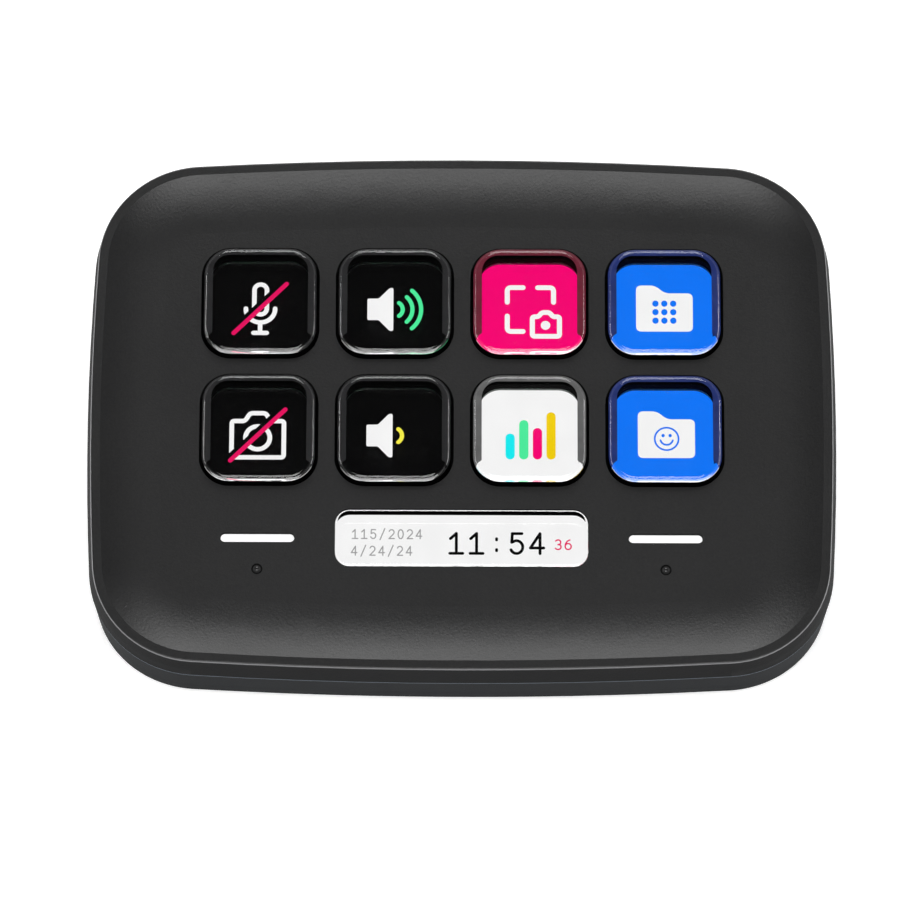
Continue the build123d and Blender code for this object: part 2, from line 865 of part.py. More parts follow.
with BuildPart() as usb_socket_tongue:
    with BuildSketch(port_plane.offset(usb_sheet - usb_length)):
        RectangleRounded(
            usb_width - 2 * usb_sheet - 2 * fit_clearance,
            usb_height - 2 * usb_sheet - 2 * fit_clearance,
            usb_radius - usb_sheet - fit_clearance,
        )
    extrude(amount=usb_block)
    with BuildSketch(port_plane.offset(usb_sheet - usb_length + usb_block)):
        Rectangle(tongue_width, tongue_thickness)
    extrude(amount=usb_length - usb_sheet - usb_block - tongue_setback)
save(usb_socket_tongue, "usb_socket_tongue")

# ----------------------------------------------------------------------------------------
# Ballast, case screws, inserts and feet
# ----------------------------------------------------------------------------------------

with BuildPart() as ballast_plate:
    with BuildSketch(Plane.XY.offset(floor_top)):
        with Locations((0, ballast_y)):
            RectangleRounded(ballast_width, ballast_depth, main_radius)
        with Locations(*stake_places):
            Circle(stake_radius + stake_clearance, mode=Mode.SUBTRACT)
    extrude(amount=ballast_thickness)
save(ballast_plate, "ballast_plate")

case_screws = screw_group(
    post_places,
    screw_seat,
    1,
    case_screw_radius,
    case_screw_seat + case_screw_grip,
    case_head_radius,
    case_head_height,
)
save(case_screws, "case_screws")

with BuildPart() as case_inserts:
    with BuildSketch(level(post_top)):
        with Locations(*post_places):
            Circle(insert_radius - fit_clearance)
            Circle(case_screw_radius + case_screw_clearance, mode=Mode.SUBTRACT)
    extrude(amount=insert_length)
save(case_inserts, "case_inserts")

for name, foot_y in foot_places.items():
    with BuildPart() as foot:
        with BuildSketch(Plane((0, foot_y, 0))):
            SlotOverall(foot_length, foot_width)
        extrude(amount=foot_stand + foot_recess)
        fillet(foot.faces().sort_by(Axis.Z)[0].edges(), foot_edge)
    save(foot, name)
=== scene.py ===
import json
from math import cos, pi, radians, sin

import bpy
import numpy as np
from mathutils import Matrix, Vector


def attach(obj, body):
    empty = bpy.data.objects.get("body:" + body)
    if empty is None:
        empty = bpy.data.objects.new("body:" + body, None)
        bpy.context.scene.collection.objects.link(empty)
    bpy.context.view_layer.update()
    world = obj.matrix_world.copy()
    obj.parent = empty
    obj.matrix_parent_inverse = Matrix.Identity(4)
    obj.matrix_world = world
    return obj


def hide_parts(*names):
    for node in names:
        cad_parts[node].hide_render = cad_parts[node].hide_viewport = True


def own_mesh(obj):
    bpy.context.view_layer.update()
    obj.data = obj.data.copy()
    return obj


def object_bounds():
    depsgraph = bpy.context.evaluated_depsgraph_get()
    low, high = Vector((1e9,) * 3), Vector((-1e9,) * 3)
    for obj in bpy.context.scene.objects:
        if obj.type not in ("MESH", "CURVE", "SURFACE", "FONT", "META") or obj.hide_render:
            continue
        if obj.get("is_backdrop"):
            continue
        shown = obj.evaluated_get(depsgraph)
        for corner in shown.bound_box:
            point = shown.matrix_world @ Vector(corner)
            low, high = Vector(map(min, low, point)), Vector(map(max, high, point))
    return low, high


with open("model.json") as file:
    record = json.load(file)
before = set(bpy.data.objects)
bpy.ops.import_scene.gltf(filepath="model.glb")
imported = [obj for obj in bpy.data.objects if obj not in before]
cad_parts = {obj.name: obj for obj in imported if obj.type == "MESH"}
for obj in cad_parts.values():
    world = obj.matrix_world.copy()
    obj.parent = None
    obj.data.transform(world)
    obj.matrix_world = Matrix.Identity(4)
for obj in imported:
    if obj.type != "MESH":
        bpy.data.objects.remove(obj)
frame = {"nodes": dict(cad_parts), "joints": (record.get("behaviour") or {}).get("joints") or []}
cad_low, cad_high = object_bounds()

# Desk macro keypad: eight clear keys over one display, in a dished case that leans towards
# the user. Metres. The pieces follow in the order in which the keypad is put together.
# Everything but the feet is square to the face, so points are worked out in the face's own
# directions: across to the right, up the face, and out of it towards the user's finger.

# ----------------------------------------------------------------------------------------
# Rear shell
# ----------------------------------------------------------------------------------------
# The lower half of the case. It is one moulding in charcoal ABS with a spark-eroded skin,
# and its walls lean in towards the table so that it leaves the mould. It is screwed to the
# front shell from below.

MM = 0.001
press = frame["joints"][0]["axis"]
face = np.array([[1, 0, 0], [0, -press[2], press[1]], [0, -press[1], -press[2]]])


def face_span(*names):
    """Lowest and highest across, up and out of some nodes: their vertices times the face's directions."""
    found = []
    for name in names:
        vertices = frame["nodes"][name].data.vertices
        points = np.empty(len(vertices) * 3)
        vertices.foreach_get("co", points)
        found.append(points.reshape(-1, 3) @ face.T)
    points = np.concatenate(found)
    return points.min(0), points.max(0)


def add_node(tree, kind, inputs=None, **settings):
    """Adds a shader node. A value for an input is set on it, and another node's socket is linked to it."""
    made = tree.nodes.new(kind)
    for setting, value in settings.items():
        setattr(made, setting, value)
    for socket, value in (inputs or {}).items():
        if isinstance(value, bpy.types.NodeSocket):
            tree.links.new(value, made.inputs[socket])
        else:
            made.inputs[socket].default_value = value
    return made


def new_finish(name, **values):
    """A material, its node tree, its shader and the object coordinates that its patterns read."""
    finish = bpy.data.materials.new(name)
    finish.use_nodes = True
    tree = finish.node_tree
    shader = tree.nodes["Principled BSDF"]
    for socket, value in values.items():
        shader.inputs[socket.replace("_", " ")].default_value = value
    place = add_node(tree, "ShaderNodeTexCoord").outputs["Object"]
    return finish, tree, shader, place


def noise(tree, place, size, detail=2.0, roughness=0.5):
    """Noise whose largest lumps measure size, in metres."""
    inputs = {"Vector": place, "Scale": 1 / size, "Detail": detail, "Roughness": roughness}
    return add_node(tree, "ShaderNodeTexNoise", inputs).outputs["Fac"]


def ramp(tree, value, low, high, from_low=0.0, from_high=1.0):
    """A number or colour that runs from low to high as value runs from from_low to from_high."""
    colours = isinstance(low, tuple)
    inputs = {"Value": value, "From Min": from_low, "From Max": from_high}
    if not colours:
        inputs |= {"To Min": low, "To Max": high}
    share = add_node(tree, "ShaderNodeMapRange", inputs).outputs["Result"]
    if not colours:
        return share
    mix = add_node(tree, "ShaderNodeMix", data_type="RGBA")
    tree.links.new(share, mix.inputs["Factor"])
    mix.inputs[6].default_value = (*low, 1)
    mix.inputs[7].default_value = (*high, 1)
    return mix.outputs[2]


def eroded_plastic(name, dark, light, roughness, specular, grain=0.36 * MM, depth=0.03 * MM, walls=None):
    """Moulded plastic with a spark-eroded skin.

    A fine noise tips the surface and lights single grains, and a broad one drifts the gloss,
    as it does where the melt slowed down. walls is the roughness and the colour given to faces
    that stand upright to the keypad's face; a wall colour darker than the skin is painted shade.
    The edges between them and the face are made smoother and carry a painted highlight: their
    colour is lifted far above the light tone.
    """
    edge_roughness = 0.22
    edge_highlight_lift = 16  # how many times lighter the painted highlight on an edge is than the light tone
    finish, tree, shader, place = new_finish(name, Specular_IOR_Level=specular)
    skin = noise(tree, place, grain, 3.0, 0.65)
    drift = noise(tree, place, 60 * grain)
    colour = ramp(tree, skin, dark, light, 0.3, 0.7)
    rough = ramp(tree, drift, roughness - 0.03, roughness + 0.03)
    if walls:
        normal = add_node(tree, "ShaderNodeNewGeometry").outputs["Normal"]
        facing = {0: normal, 1: tuple(face[2])}
        facing = add_node(tree, "ShaderNodeVectorMath", facing, operation="DOT_PRODUCT").outputs["Value"]
        upright = ramp(tree, facing, 1.0, 0.0, 0.2, 0.7)
        rough = add_node(tree, "ShaderNodeMix", {0: upright, 2: rough, 3: walls[0]}).outputs[0]
        # A wall colour darker than the skin is painted shade on the upright faces.
        wall_tone_and_shade = {0: upright, 6: colour, 7: (*walls[1], 1)}
        colour = add_node(tree, "ShaderNodeMix", wall_tone_and_shade, data_type="RGBA").outputs[2]
        # Painted highlight: faces between upright and flat, the edges, are lifted far above the light tone
        # and made smoother.
        rise = ramp(tree, facing, 0.0, 1.0, 0.15, 0.35)
        fall = ramp(tree, facing, 1.0, 0.0, 0.79, 0.86)
        edge_gloss_and_highlight = add_node(tree, "ShaderNodeMath", {0: rise, 1: fall}, operation="MULTIPLY").outputs[0]
        rough = add_node(tree, "ShaderNodeMix", {0: edge_gloss_and_highlight, 2: rough, 3: edge_roughness}).outputs[0]
        highlit = {0: edge_gloss_and_highlight, 6: colour, 7: (*(edge_highlight_lift * share for share in light), 1)}
        colour = add_node(tree, "ShaderNodeMix", highlit, data_type="RGBA").outputs[2]
    tree.links.new(colour, shader.inputs["Base Color"])
    tree.links.new(rough, shader.inputs["Roughness"])
    bump = {"Height": skin, "Distance": depth, "Strength": 1.0}
    tree.links.new(
        add_node(tree, "ShaderNodeBump", bump).outputs["Normal"], shader.inputs["Normal"]
    )
    return finish


def dress(finish, *names):
    """Gives CAD nodes a finish in place of their plain one."""
    for name in names:
        for holder in frame["nodes"][name].material_slots:
            holder.material = finish


# Its edges, between upright and flat faces, carry a painted highlight.
rear_plastic = eroded_plastic(
    "rear_plastic", (0.006, 0.007, 0.0085), (0.01, 0.0115, 0.0135), 0.55, 0.22,
    walls=(0.9, (0.009, 0.0105, 0.012)),
)
dress(rear_plastic, "rear_shell")

# ----------------------------------------------------------------------------------------
# Ballast plate
# ----------------------------------------------------------------------------------------
# A stamped and zinc-plated steel plate, laid on the floor of the rear shell and held down by
# the case screws. Its weight keeps the keypad from sliding when a key is pressed.


def rolled_metal(name, colour, roughness, grain=0.25 * MM, stretch=18.0, depth=0.002 * MM):
    """Bare sheet metal. Noise drawn out across the sheet makes the rolling lines."""
    finish, tree, shader, place = new_finish(name, Metallic=1.0)
    drawn = add_node(tree, "ShaderNodeMapping", {"Vector": place, "Scale": (1 / stretch, 1, 1)})
    lines = noise(tree, drawn.outputs["Vector"], grain, 4.0, 0.6)
    dark = tuple(0.85 * share for share in colour)
    tree.links.new(ramp(tree, lines, dark, colour, 0.25, 0.75), shader.inputs["Base Color"])
    tree.links.new(
        ramp(tree, lines, roughness + 0.08, roughness - 0.08), shader.inputs["Roughness"]
    )
    bump = {"Height": lines, "Distance": depth, "Strength": 1.0}
    tree.links.new(
        add_node(tree, "ShaderNodeBump", bump).outputs["Normal"], shader.inputs["Normal"]
    )
    return finish


dress(rolled_metal("zinc_plate", (0.52, 0.53, 0.55), 0.38), "ballast_plate")

# ----------------------------------------------------------------------------------------
# Main board
# ----------------------------------------------------------------------------------------
# The printed board that drives the display and talks to the computer. Black solder mask over
# copper tracks; the chips, capacitors and connectors are soldered on, and four screws hold
# the board on the bosses of the rear shell.


def solder_mask(name, mask, track, pitch):
    """A printed board. Bands of a wave, broken up by noise, are the tracks under the mask."""
    finish, tree, shader, place = new_finish(name, Roughness=0.35)
    waves = {"Vector": place, "Scale": 1 / pitch, "Distortion": 0.0}
    bands = add_node(tree, "ShaderNodeTexWave", waves).outputs["Fac"]
    patches = ramp(tree, noise(tree, place, 9 * pitch), 0.0, 1.0, 0.5, 0.52)
    tracks = ramp(tree, bands, 0.0, 1.0, 0.55, 0.62)
    both = add_node(tree, "ShaderNodeMath", {0: tracks, 1: patches}, operation="MULTIPLY")
    tree.links.new(ramp(tree, both.outputs[0], mask, track), shader.inputs["Base Color"])
    bump = {"Height": both.outputs[0], "Distance": 0.02 * MM, "Strength": 0.6}
    tree.links.new(
        add_node(tree, "ShaderNodeBump", bump).outputs["Normal"], shader.inputs["Normal"]
    )
    return finish


def speckled(name, dark, light, roughness, size, **values):
    """A plain moulded or fired finish: two tones in noise of one size, and gloss that drifts with it."""
    finish, tree, shader, place = new_finish(name, **values)
    cloud = noise(tree, place, size, 3.0, 0.6)
    tree.links.new(ramp(tree, cloud, dark, light, 0.3, 0.7), shader.inputs["Base Color"])
    tree.links.new(
        ramp(tree, cloud, roughness - 0.05, roughness + 0.05), shader.inputs["Roughness"]
    )
    return finish


board_mask = solder_mask("board_mask", (0.004, 0.016, 0.01), (0.012, 0.045, 0.026), 0.5 * MM)
screw_steel = rolled_metal("screw_steel", (0.6, 0.6, 0.61), 0.3, 0.08 * MM, 1.0)
dress(board_mask, "main_board")
dress(screw_steel, "main_board_screws")
dress(speckled("chip_epoxy", (0.012, 0.012, 0.013), (0.02, 0.02, 0.021), 0.6, 0.1 * MM),
      "controller_chip", "memory_chip")
dress(speckled("capacitor_ceramic", (0.3, 0.2, 0.12), (0.42, 0.3, 0.19), 0.45, 0.2 * MM),
      "board_capacitors")
dress(speckled("connector_nylon", (0.6, 0.57, 0.48), (0.72, 0.7, 0.62), 0.5, 0.3 * MM),
      "flex_connector", "link_plug", "link_socket")

# ----------------------------------------------------------------------------------------
# USB socket
# ----------------------------------------------------------------------------------------
# The inlet in the rear wall: a drawn and nickel-plated steel shell round a black moulded
# tongue. It is soldered to the main board, and its mouth lies just inside the case.

dress(rolled_metal("socket_nickel", (0.62, 0.61, 0.58), 0.24, 0.12 * MM, 6.0), "usb_socket_shell")
dress(speckled("tongue_nylon", (0.01, 0.01, 0.011), (0.018, 0.018, 0.019), 0.45, 0.1 * MM),
      "usb_socket_tongue")

# ----------------------------------------------------------------------------------------
# Display
# ----------------------------------------------------------------------------------------
# One flat panel lies under all the keys and the window: glass over a white light guide, in a
# stamped steel tray. Black tape frames it, and a folded film joins it to the main board.

dress(rolled_metal("tray_steel", (0.55, 0.55, 0.56), 0.33), "display_tray")
dress(speckled("light_guide_sheet", (0.78, 0.79, 0.8), (0.86, 0.87, 0.88), 0.55, 0.4 * MM),
      "display_backlight")
dress(speckled("display_glass", (0.0035, 0.0035, 0.004), (0.0045, 0.0045, 0.005), 0.08, 3 * MM),
      "display_cell")
dress(speckled("black_tape", (0.006, 0.006, 0.006), (0.011, 0.011, 0.011), 0.7, 0.3 * MM),
      "display_tape")
dress(speckled("polyimide", (0.26, 0.11, 0.02), (0.36, 0.17, 0.035), 0.4, 0.6 * MM),
      "display_flex")

# ----------------------------------------------------------------------------------------
# Pictures on the display
# ----------------------------------------------------------------------------------------
# What the panel shows: a lit tile with a pictogram under each key, and a line of figures
# under the window. The lit layers are thin slabs that lie on the glass.

layer = 0.012 * MM  # thickness of one lit layer, and of a film
tile_half = 7.7 * MM  # the tiles reach in under the edges of the key board's windows
tile_radius = 1.0 * MM
picture_rise = 0.41 * MM  # the pictures sit a little above the middle of their keys
picture_spread = 1.007  # and spread out a little, so that they look centred from the user's seat
glass_low, glass_high = face_span("display_cell")


def arc(middle_across, middle_up, radius_across, radius_up, start, end, count=24):
    """Points of an ellipse's arc: middle plus (radius cos t, radius sin t), t from start to end degrees."""
    t = np.radians(np.linspace(start, end, count))
    return np.column_stack(
        (middle_across + radius_across * np.cos(t), middle_up + radius_up * np.sin(t))
    )


def rounded(half_across, half_up, radius, count=8, middle_across=0.0, middle_up=0.0):
    """A rectangle with round corners: four quarter arcs in turn, anticlockwise."""
    quarters = [
        arc(
            middle_across + across * (half_across - radius),
            middle_up + up * (half_up - radius),
            radius, radius, start, start + 90, count,
        )
        for across, up, start in ((1, 1, 0), (-1, 1, 90), (-1, -1, 180), (1, -1, 270))
    ]
    return np.concatenate(quarters)


def stroke(points, width, count=8):
    """The outline of a line drawn with a round pen.

    Each point is moved half the width to either side, along the mean of the normals of its two
    runs and further at a bend so that the width holds. A half circle closes each end.
    """
    points = np.asarray(points, float)
    runs = np.diff(points, axis=0)
    runs /= np.linalg.norm(runs, axis=1)[:, None]
    normals = np.column_stack((-runs[:, 1], runs[:, 0]))
    before = np.vstack((normals[:1], normals))
    after = np.vstack((normals, normals[-1:]))
    mean = before + after
    mean /= np.linalg.norm(mean, axis=1)[:, None]
    offset = mean * (width / 2 / (mean * after).sum(1))[:, None]
    half = width / 2
    head = np.degrees(np.arctan2(runs[-1, 1], runs[-1, 0]))
    tail = np.degrees(np.arctan2(-runs[0, 1], -runs[0, 0]))
    end_cap = arc(*points[-1], half, half, head - 90, head + 90, count)[1:-1]
    start_cap = arc(*points[0], half, half, tail - 90, tail + 90, count)[1:-1]
    return np.concatenate((points - offset, end_cap, (points + offset)[::-1], start_cap))


def loop_stroke(points, width):
    """The outer and the inner outline of a closed line, moved half the width along its normals."""
    points = np.asarray(points, float)
    around = np.roll(points, -1, axis=0) - np.roll(points, 1, axis=0)
    around /= np.linalg.norm(around, axis=1)[:, None]
    normals = np.column_stack((around[:, 1], -around[:, 0]))
    return points + normals * width / 2, points - normals * width / 2


def soften(points, cut, closed=True, count=7):
    """A run of straight lines with its corners rounded.

    Each corner becomes a curve between the two points that lie cut before and after it:
    (1 - s)^2 before + 2 s (1 - s) corner + s^2 after.
    """
    points = np.asarray(points, float)
    corners = points if closed else points[1:-1]
    before = np.roll(points, 1, 0) if closed else points[:-2]
    after = np.roll(points, -1, 0) if closed else points[2:]
    come = before - corners
    leave = after - corners
    start = corners + come * cut / np.linalg.norm(come, axis=1)[:, None]
    stop = corners + leave * cut / np.linalg.norm(leave, axis=1)[:, None]
    s = np.linspace(0, 1, count)[None, :, None]
    curve = (1 - s) ** 2 * start[:, None] + 2 * s * (1 - s) * corners[:, None] + s**2 * stop[:, None]
    curve = curve.reshape(-1, 2)
    return curve if closed else np.vstack((points[:1], curve, points[-1:]))


class Sheet:
    """Thin slabs gathered into one mesh: vertices, faces and the finish of each face."""

    def __init__(self, across, up, out):
        self.place = np.array([across, up, out])
        self.points, self.faces, self.finishes, self.count = [], [], [], 0

    def add(self, flat, level, faces, finish):
        """Takes one slab: its outline at the foot and at the top of its layer, and its faces."""
        foot = np.column_stack((flat, np.full(len(flat), level * layer)))
        top = np.column_stack((flat, np.full(len(flat), (level + 1) * layer)))
        self.points += [foot, top]
        self.faces += [[self.count + corner for corner in one] for one in faces]
        self.finishes += [finish] * len(faces)
        self.count += 2 * len(flat)

    def fill(self, outline, level, finish):
        """A filled shape: its outline as foot and top, and a wall between them."""
        n = len(outline)
        wall = [(i, (i + 1) % n, n + (i + 1) % n, n + i) for i in range(n)]
        self.add(outline, level, [list(range(n))[::-1], [n + i for i in range(n)], *wall], finish)

    def ring(self, outlines, level, finish):
        """A closed line: a strip of quads on top and below, and an outer and an inner wall."""
        outer, inner = outlines
        n = len(outer)
        faces = []
        for i in range(n):
            j = (i + 1) % n
            faces += [
                (n + i, n + j, j, i),
                (2 * n + i, 2 * n + j, 3 * n + j, 3 * n + i),
                (i, j, 2 * n + j, 2 * n + i),
                (n + j, n + i, 3 * n + i, 3 * n + j),
            ]
        self.add(np.concatenate((outer, inner)), level, faces, finish)

    def draw(self, shapes):
        """Adds a picture in millimetres: filled outlines and closed lines, each with its layer and finish."""
        for outline, level, finish in shapes:
            if isinstance(outline, tuple):
                self.ring(tuple(side * MM for side in outline), level, finish)
            else:
                self.fill(outline * MM, level, finish)

    def build(self, name, finishes, body):
        """Makes the piece, with its place in its mesh, and lets it ride on a body."""
        points = (np.concatenate(self.points) + self.place) @ face
        return new_piece(name, points, self.faces, finishes, body, self.finishes)


def new_piece(name, points, faces, finishes, body, finish_of_face=None, smooth=False):
    """A mesh object from an array of points, with its finishes, riding on a body."""
    mesh = bpy.data.meshes.new(name)
    mesh.from_pydata(points, [], faces)
    for finish in finishes:
        mesh.materials.append(finish)
    if finish_of_face is not None:
        mesh.polygons.foreach_set("material_index", finish_of_face)
    mesh.polygons.foreach_set("use_smooth", np.full(len(mesh.polygons), smooth))
    mesh.update()
    piece = bpy.data.objects.new(name, mesh)
    bpy.context.scene.collection.objects.link(piece)
    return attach(piece, body)


def lit(name, colour, strength=1.0):
    """A lit part of the panel. The light is a little uneven over a few millimetres."""
    finish, tree, shader, place = new_finish(
        name, Roughness=0.12, Specular_IOR_Level=0.2, Base_Color=(0.002, 0.002, 0.002, 1),
        Emission_Strength=strength,
    )
    dim = tuple(0.965 * share for share in colour)
    uneven = noise(tree, place, 5 * MM, 1.0)
    tree.links.new(ramp(tree, uneven, dim, colour, 0.3, 0.7), shader.inputs["Emission Color"])
    return finish


WHITE, BLACK, PINK, BLUE, CRIMSON, GREEN, YELLOW, GOLD, CYAN, GREY = range(10)
lit_finishes = [
    lit("lit_white", (0.985, 0.985, 0.985)),
    lit("lit_black", (0.0015, 0.0015, 0.0016)),
    lit("lit_pink", (1.0, 0.001, 0.18)),
    lit("lit_blue", (0.006, 0.19, 1.0)),
    lit("lit_crimson", (0.82, 0.006, 0.12)),
    lit("lit_green", (0.08, 0.9, 0.36)),
    lit("lit_yellow", (0.96, 0.88, 0.07)),
    lit("lit_gold", (0.95, 0.66, 0.004)),
    lit("lit_cyan", (0.01, 0.9, 0.95)),
    lit("lit_grey", (0.36, 0.36, 0.36)),
]

# The pictograms are drawn in millimetres from the middle of their tile.
line = 0.66
slash_line = 0.65
slash_gap = 0.58


def slash(start, end):
    """A crimson stroke with a dark one along its upper side, which parts it from the picture."""
    start, end = np.array(start), np.array(end)
    run = (end - start) / np.linalg.norm(end - start)
    beside = slash_gap * np.array([-run[1], run[0]])
    return [
        (stroke([start + beside, end + beside], slash_line), 2, BLACK),
        (stroke([start, end], slash_line), 3, CRIMSON),
    ]


def camera_outline(left, right, foot, shoulder, hump, hump_left, hump_right, slant, cut):
    """The closed outline of a camera: a box with a hump whose sides slant outwards to its shoulders."""
    corners = [
        (left, foot), (right, foot), (right, shoulder), (hump_right + slant, shoulder),
        (hump_right, hump), (hump_left, hump), (hump_left - slant, shoulder), (left, shoulder),
    ]
    return soften(corners, cut)


def microphone():
    """A capsule in a cradle on a stand, struck out."""
    return [
        (loop_stroke(rounded(0.9, 2.3, 0.89, 12, 0.12, 1.48), line), 1, WHITE),
        (stroke(arc(0.12, 0, 2.1, 2.06, 178, 362, 40), line), 1, WHITE),
        (stroke([(0.1, -2.3), (0.1, -3.5)], line), 1, WHITE),
        (stroke([(-0.85, -3.66), (1.05, -3.66)], line), 1, WHITE),
        *slash((-3.7, -3.7), (3.84, 3.86)),
    ]


def struck_camera():
    """A camera with a lens ring, struck out."""
    body = camera_outline(-3.76, 3.7, -3.36, 2.15, 3.35, -1.14, 1.07, 0.75, 0.4)
    return [
        (loop_stroke(body, line), 1, WHITE),
        (loop_stroke(arc(-0.04, -0.39, 1.74, 1.74, 0, 360, 49)[:-1], line), 1, WHITE),
        *slash((-3.92, -3.85), (3.87, 3.91)),
    ]


def screenshot():
    """Three corners of a frame, and a small camera in the place of the fourth."""
    corners = (
        [(-0.95, 3.42), (-3.23, 3.42), (-3.23, 1.16)],
        [(1.15, 3.42), (3.43, 3.42), (3.43, 1.16)],
        [(-3.23, -0.96), (-3.23, -3.33), (-0.95, -3.33)],
    )
    body = camera_outline(0.38, 4.28, -4.06, -1.06, -0.4, 1.75, 2.85, 0.5, 0.35)
    return [
        *((stroke(soften(corner, 0.6, closed=False), 0.72), 1, WHITE) for corner in corners),
        (loop_stroke(body, 0.72), 1, WHITE),
        (arc(2.28, -2.38, 0.68, 0.68, 0, 360, 33)[:-1], 1, WHITE),
    ]


def folder(shift):
    """A folder with its tab at the left."""
    corners = [(-4.12, -3.28), (4.04, -3.28), (4.04, 2.6), (0.0, 2.6), (-1.35, 3.8), (-4.12, 3.8)]
    return [(soften(np.array(corners) + (shift, 0), 0.8), 1, WHITE)]


def dots():
    """Nine dots in a square."""
    return [
        (arc(-0.05 + 1.28 * column, -0.3 + 1.31 * row, 0.46, 0.48, 0, 360, 25)[:-1], 2, BLUE)
        for row in (-1, 0, 1)
        for column in (-1, 0, 1)
    ]


def smile():
    """A smiling face in thin lines."""
    return [
        (loop_stroke(arc(0.14, -0.38, 1.7, 1.7, 0, 360, 49)[:-1], 0.26), 2, BLUE),
        (arc(-0.36, 0.12, 0.24, 0.26, 0, 360, 17)[:-1], 2, BLUE),
        (arc(0.64, 0.12, 0.24, 0.26, 0, 360, 17)[:-1], 2, BLUE),
        (stroke(arc(0.14, -0.38, 0.9, 0.9, 194, 346), 0.27), 2, BLUE),
    ]


def speaker():
    """A loudspeaker seen from the side: a rounded magnet and its horn."""
    corners = [
        (-3.93, -1.64), (-2.3, -1.64), (-0.72, -3.3), (-0.19, -3.3),
        (-0.19, 3.3), (-0.72, 3.3), (-2.3, 1.66), (-3.93, 1.66),
    ]
    return [(soften(corners, 0.26), 1, WHITE)]


def waves(finish, *reaches):
    """Sound waves: arcs of growing radius before the horn, each with the half angle that it spans."""
    return [(stroke(arc(-0.04, 0, r, r, -half, half), 0.6), 1, finish) for r, half in reaches]


def bars():
    """Four upright bars of different heights."""
    tops = ((CYAN, -0.3), (GREEN, 1.75), (PINK, 0.55), (GOLD, 2.95))
    return [
        (stroke([(-2.8 + 1.95 * i, -2.9), (-2.8 + 1.95 * i, top)], 1.32, 12), 1, finish)
        for i, (finish, top) in enumerate(tops)
    ]


pictures = {
    1: (BLACK, microphone()),
    2: (BLACK, speaker() + waves(GREEN, (1.2, 56), (2.6, 47), (3.85, 49))),
    3: (PINK, screenshot()),
    4: (BLUE, folder(0.0) + dots()),
    5: (BLACK, struck_camera()),
    6: (BLACK, speaker() + waves(YELLOW, (1.2, 56))),
    7: (WHITE, bars()),
    8: (BLUE, folder(0.15) + smile()),
}
for key, (ground, shapes) in pictures.items():
    low, high = face_span(f"key_cap_{key}")
    sheet = Sheet((low[0] + high[0]) / 2, (low[1] + high[1]) / 2, glass_high[2])
    sheet.fill(rounded(tile_half, tile_half, tile_radius), 0, ground)
    sheet.place[0] *= picture_spread
    sheet.place[1] += picture_rise
    sheet.draw(shapes)
    sheet.build(f"picture_{key}", lit_finishes, "case")


def figure(character):
    """The pen strokes of a figure in a box 1 wide and 1 high, about its middle across and from its foot."""
    strokes = {
        "0": [arc(0, 0.5, 0.45, 0.5, 90, 449, 40)],
        "1": [[(-0.42, 0.74), (0.02, 1)], [(0.02, 1), (0.02, 0)], [(-0.46, 0), (0.5, 0)]],
        "2": [np.vstack((arc(0, 0.71, 0.44, 0.29, 160, -38, 20), [[-0.46, 0]])), [(-0.46, 0), (0.48, 0)]],
        "3": [arc(-0.02, 0.75, 0.4, 0.25, 150, -90, 20), arc(-0.02, 0.26, 0.45, 0.26, 90, -150, 20)],
        "4": [[(0.22, 1), (-0.5, 0.28)], [(0.22, 1), (0.22, 0)], [(-0.5, 0.28), (0.5, 0.28)]],
        "5": [[(0.38, 1), (-0.34, 1)], [(-0.34, 1), (-0.38, 0.56)],
              np.vstack(([[-0.38, 0.56]], arc(-0.02, 0.32, 0.46, 0.32, 115, -155, 24)))],
        "6": [arc(0.42, 0.33, 0.87, 0.67, 100, 180, 16), arc(0, 0.31, 0.45, 0.31, 178, 537, 36)],
        ":": [[(0, 0.14), (0, 0.2)], [(0, 0.68), (0, 0.74)]],
        "/": [[(-0.42, -0.12), (0.42, 1.12)]],
    }
    return strokes[character]


def write(text, left, foot, pitch, width, height, pen, finish):
    """A line of figures of one pitch. The strokes of a figure lie on top of each other in turn."""
    shapes = []
    for i, character in enumerate(text):
        for level, points in enumerate(figure(character)):
            spots = np.asarray(points) * (width, height) + (left + i * pitch, foot)
            shapes.append((stroke(spots, pen), 1 + level, finish))
    return shapes


low, high = face_span("info_window")
info_half_across = 18.4 * MM
info_half_up = 4.75 * MM
info_rise = 0.25 * MM  # the figures too sit a little above the middle of their window
sheet = Sheet((low[0] + high[0]) / 2, (low[1] + high[1]) / 2, glass_high[2])
sheet.fill(rounded(info_half_across, info_half_up, tile_radius), 0, WHITE)
sheet.place[1] += info_rise
sheet.draw(write("115/2024", -15.15, 0.66, 1.3, 0.8, 1.34, 0.17, GREY))
sheet.draw(write("4/24/24", -15.25, -1.84, 1.3, 0.8, 1.34, 0.17, GREY))
sheet.draw(write("11:54", -0.77, -1.53, 2.88, 1.9, 3.0, 0.43, BLACK))
sheet.draw(write("36", 13.75, -0.9, 1.42, 0.95, 1.44, 0.2, CRIMSON))
sheet.build("picture_info", lit_finishes, "case")

# ----------------------------------------------------------------------------------------
# Key board
# ----------------------------------------------------------------------------------------
# A printed board with a square window under each key. It carries the contacts of the keys
# and two lamps for the light bars, and five screws hold it up against the front shell.

dress(board_mask, "key_board")
dress(screw_steel, "key_board_screws")
dress(speckled("lamp_lens", (0.8, 0.76, 0.55), (0.88, 0.85, 0.68), 0.3, 0.2 * MM), "status_leds")

# ----------------------------------------------------------------------------------------
# Domes
# ----------------------------------------------------------------------------------------
# The silicone springs of the keys. Each is a square ring: a foot on the key board, a thin
# skirt that buckles when the key is pressed, and a lip that bears on the carrier. They are
# moulded in grey silicone and lie loose between the two.

